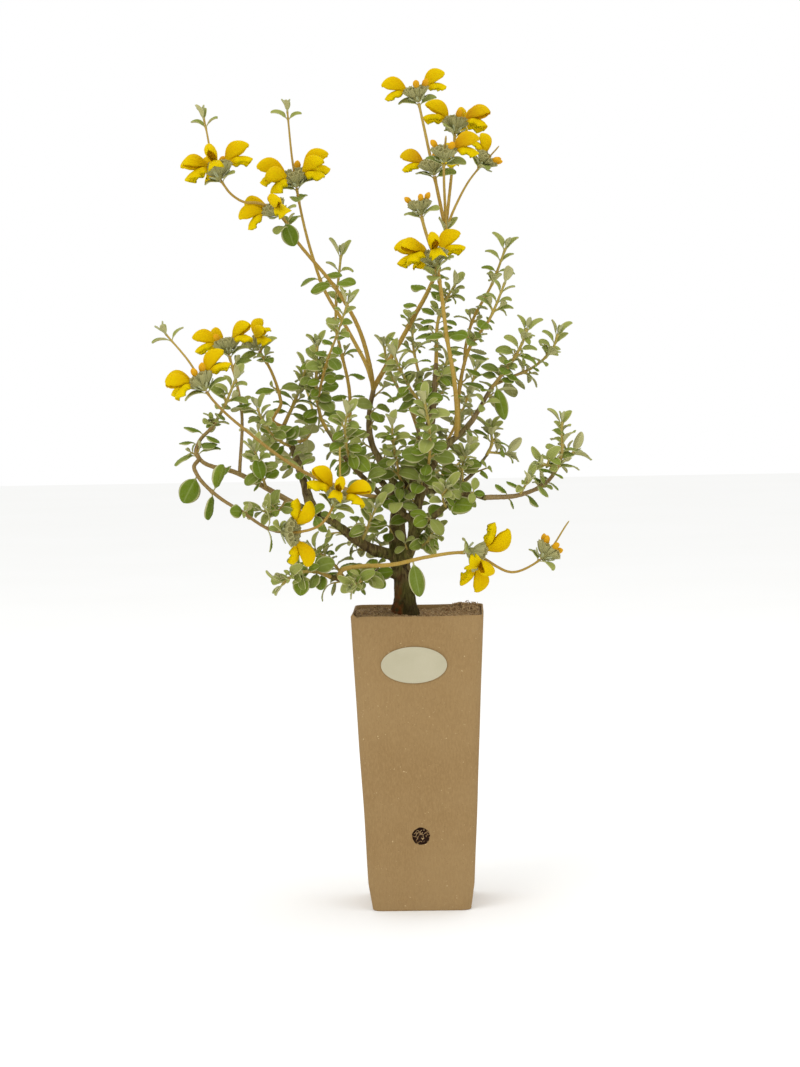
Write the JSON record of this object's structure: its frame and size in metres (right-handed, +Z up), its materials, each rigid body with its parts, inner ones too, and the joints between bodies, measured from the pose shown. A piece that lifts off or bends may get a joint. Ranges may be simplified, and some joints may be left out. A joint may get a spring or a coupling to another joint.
{
  "type": "potted phlomis lanata",
  "caption": "Woolly-leaved evergreen shrub with whorls of hooded yellow flowers on upright shoots, grown in a deep square tapered card nursery pot with a bare label",
  "frame": {"origin": "centre of the square underside of the pot, on the surface it stands on", "axes": "+Z up along the pot's own axis; front of the pot, with the label and the round side hole, toward -Y; +X to the right when the front is seen"},
  "size_m": [0.2855, 0.2425, 0.5648],
  "materials": {
    "card": "rough brown kraft board with fine fibre specks",
    "label": "matte cream paper, bare",
    "soil": "moist fibrous coir and peat compost, crumbly",
    "bark": "grey-brown flaky bark",
    "leaf": "thick grey-green leaves with woolly pale margins, on golden-tan woolly stems",
    "flower": "velvety golden-yellow hooded flowers in grey-green woolly ribbed calyces"
  },
  "bodies": {
    "root": {"pot": "card", "label": "label", "soil": "soil", "wood": "bark", "back_low": "leaf", "back_tall": "leaf", "centre_back": "leaf", "centre_flowers": "leaf", "centre_front": "leaf", "centre_left": "leaf", "centre_low_front": "leaf", "centre_tall": "leaf", "inner_back_side": "leaf", "inner_back_tall": "leaf", "inner_left_fork": "leaf", "inner_left_front": "leaf", "left_bud_flowers": "leaf", "left_deep_back": "leaf", "left_flowers": "leaf", "left_inner_flowers": "leaf", "left_spray": "leaf", "left_top_flowers": "leaf", "left_up_back": "leaf", "left_up_front": "leaf", "left_up_tip": "leaf", "low_back": "leaf", "low_flowers": "leaf", "low_left_front": "leaf", "low_left_tip": "leaf", "low_left_up": "leaf", "low_right": "leaf", "low_upright": "leaf", "right_back": "leaf", "right_low_near": "leaf", "right_low_tip": "leaf", "right_mid_near": "leaf", "right_mid_tip": "leaf", "right_tall": "leaf", "right_upper": "leaf", "top_flowers": "leaf", "whorl_01": "flower", "whorl_02": "flower", "whorl_03": "flower", "whorl_04": "flower", "whorl_05": "flower", "whorl_06": "flower", "whorl_07": "flower", "whorl_08": "flower", "whorl_09": "flower", "whorl_10": "flower", "whorl_11": "flower", "whorl_12": "flower", "whorl_13": "flower", "whorl_14": "flower", "whorl_15": "flower", "whorl_16": "flower", "whorl_17": "flower"}
  },
  "joints": []
}
